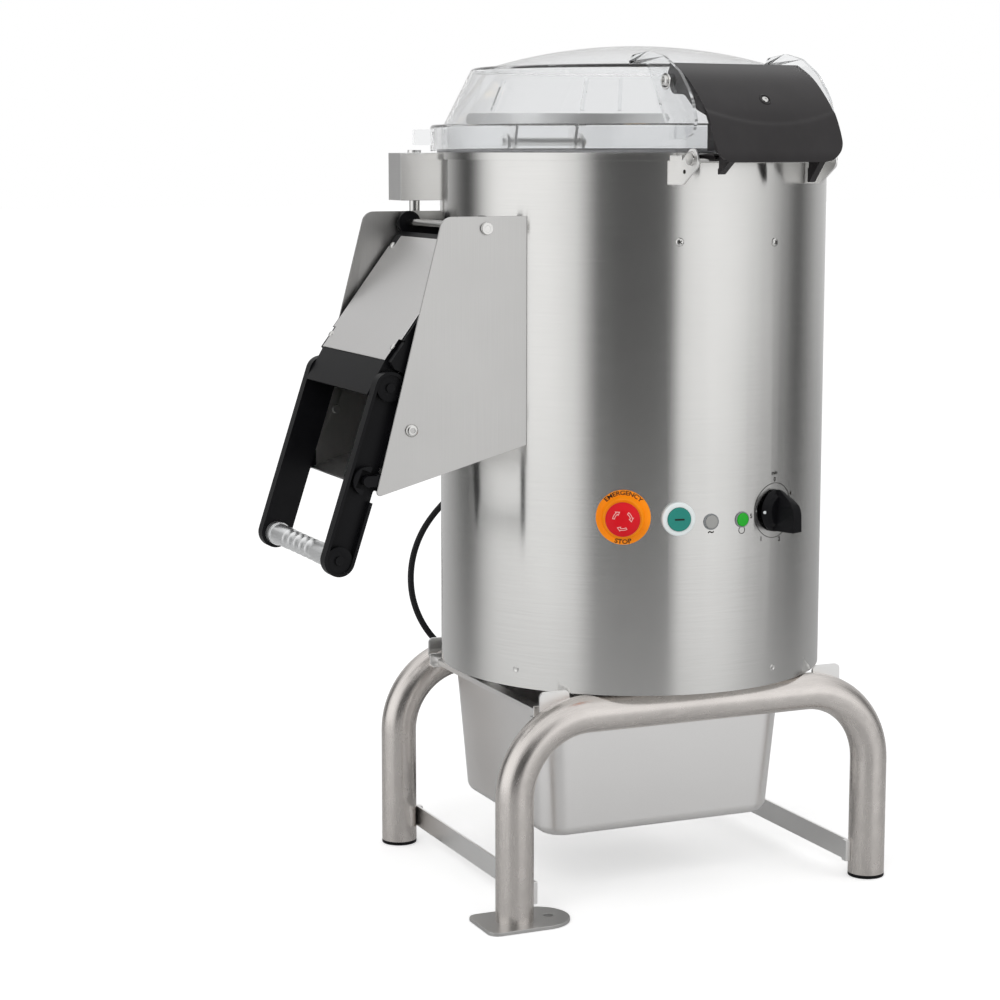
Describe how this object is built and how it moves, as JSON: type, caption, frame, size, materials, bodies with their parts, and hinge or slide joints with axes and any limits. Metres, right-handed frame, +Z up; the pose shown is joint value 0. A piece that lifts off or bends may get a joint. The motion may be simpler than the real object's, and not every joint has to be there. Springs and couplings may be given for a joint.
{
  "type": "electric potato peeler",
  "caption": "Upright drum peeler on a tube stand with a clear hinged lid, side discharge door, control row and slide-out peelings pan.",
  "frame": {"origin": "on the drum's axis at floor level, at the centre of the circle through the two floor bolt holes", "axes": "+Z up along the drum's axis, -Y to the front with the controls, -X to the discharge chute"},
  "size_m": [0.692, 0.6402, 0.962],
  "materials": {
    "satin_steel": "satin brushed stainless sheet and tube",
    "bright_steel": "polished round bar and bolts",
    "clear_plastic": "clear moulded polycarbonate",
    "smoked_plastic": "black moulded plastic",
    "black_plastic": "matt black moulded plastic",
    "grey_rubber": "soft grey seal",
    "black_rubber": "black rubber",
    "abrasive": "rough dark grit",
    "yellow_plastic": "yellow moulded plastic",
    "red_plastic": "red moulded plastic",
    "green_plastic": "green moulded plastic",
    "white_plastic": "white moulded plastic",
    "cast_grey": "grey painted casting",
    "brass": "plain turned brass"
  },
  "bodies": {
    "stand_and_drum": {"front_leg_frame": "satin_steel", "rear_leg_frame": "satin_steel", "left_stretcher_bar": "satin_steel", "right_stretcher_bar": "satin_steel", "front_anchor_plate": "satin_steel", "rear_anchor_plate": "satin_steel", "front_foot_cap": "black_plastic", "rear_foot_cap": "black_plastic", "front_pan_rail": "satin_steel", "rear_pan_rail": "satin_steel", "front_drum_clips": "satin_steel", "rear_drum_clips": "satin_steel", "drum_shell": "satin_steel", "drum_base_plate": "satin_steel", "chamber_floor": "satin_steel", "chamber_liner": "abrasive", "rim_seal": "grey_rubber", "waste_spout": "satin_steel", "motor": "cast_grey", "motor_shelf": "satin_steel", "bearing_housing": "cast_grey", "drive_belt": "black_rubber", "chute_front_cheek": "satin_steel", "chute_rear_cheek": "satin_steel", "chute_floor": "satin_steel", "catch_blocks": "black_plastic", "interlock_box": "satin_steel", "left_keeper_bracket": "satin_steel", "right_keeper_bracket": "satin_steel", "keeper_rod": "bright_steel", "lid_hinge_bracket": "satin_steel", "stop_collar": "yellow_plastic", "start_bezel": "white_plastic", "supply_lamp": "white_plastic", "running_lamp": "green_plastic", "timer_body": "black_plastic", "control_box": "satin_steel", "water_inlet": "brass", "cable_gland": "black_plastic", "mains_lead": "black_rubber", "lead_coil": "black_rubber", "mains_plug": "black_rubber"},
    "abrasive_disc": {"disc_shaft": "satin_steel", "disc_pulley": "satin_steel", "peeling_disc": "abrasive"},
    "motor_drive": {"motor_pulley": "satin_steel"},
    "safety_rod": {"interlock_rod": "bright_steel"},
    "stop_head": {"stop_button": "red_plastic"},
    "start_cap": {"start_button": "green_plastic"},
    "timer": {"timer_knob": "black_plastic"},
    "lid": {"lid_dome": "clear_plastic", "lid_hinge_arms": "satin_steel"},
    "lid_latch": {"lid_handle": "smoked_plastic"},
    "door": {"door_frame": "black_plastic", "door_cover_plate": "satin_steel", "door_hinge_rod": "bright_steel"},
    "door_handle": {"front_handle_arm": "black_plastic", "rear_handle_arm": "black_plastic", "handle_grip": "satin_steel"},
    "pan": {"peelings_pan": "satin_steel"}
  },
  "joints": [
    {"name": "disc_spin", "type": "hinge", "parent": "stand_and_drum", "child": "abrasive_disc", "pos_m": [0, 0, 0.4], "axis": [0, 0, 1], "continuous": true},
    {"name": "motor_spin", "type": "hinge", "parent": "stand_and_drum", "child": "motor_drive", "pos_m": [0.108, 0.062, 0.3], "axis": [0, 0, 1], "continuous": true},
    {"name": "door_swing", "type": "hinge", "parent": "stand_and_drum", "child": "door", "pos_m": [-0.236, 0, 0.761], "axis": [0, 1, 0], "range_deg": [0, 65]},
    {"name": "handle_swing", "type": "hinge", "parent": "door", "child": "door_handle", "pos_m": [-0.345, 0, 0.592], "axis": [0, 1, 0], "range_deg": [0, 50]},
    {"name": "rod_slide", "type": "slide", "parent": "stand_and_drum", "child": "safety_rod", "axis": [0, 0, -1], "range_m": [0, 0.006]},
    {"name": "lid_swing", "type": "hinge", "parent": "stand_and_drum", "child": "lid", "pos_m": [0, 0.252, 0.852], "axis": [-1, 0, 0], "range_deg": [0, 95]},
    {"name": "latch_swing", "type": "hinge", "parent": "lid", "child": "lid_latch", "pos_m": [0.0261, -0.19829, 0.917], "axis": [-0.9914, -0.1305, 0], "range_deg": [0, 12]},
    {"name": "stop_press", "type": "slide", "parent": "stand_and_drum", "child": "stop_head", "axis": [0.4787, 0.878, 0], "range_m": [0, 0.004], "stiffness_N_per_m": 2000},
    {"name": "start_press", "type": "slide", "parent": "stand_and_drum", "child": "start_cap", "axis": [0.2284, 0.9736, 0], "range_m": [0, 0.003], "stiffness_N_per_m": 1000},
    {"name": "timer_turn", "type": "hinge", "parent": "stand_and_drum", "child": "timer", "pos_m": [0.07297, -0.21072, 0.448], "axis": [-0.3272, 0.9449, 0], "range_deg": [0, 300]},
    {"name": "pan_slide", "type": "slide", "parent": "stand_and_drum", "child": "pan", "axis": [-1, 0, 0], "range_m": [0, 0.36]}
  ],
  "couplings": [
    {"joint": "motor_spin", "follows": "disc_spin", "ratio": 3.2},
    {"joint": "rod_slide", "follows": "door_swing", "m_per_rad": 0.005289}
  ]
}
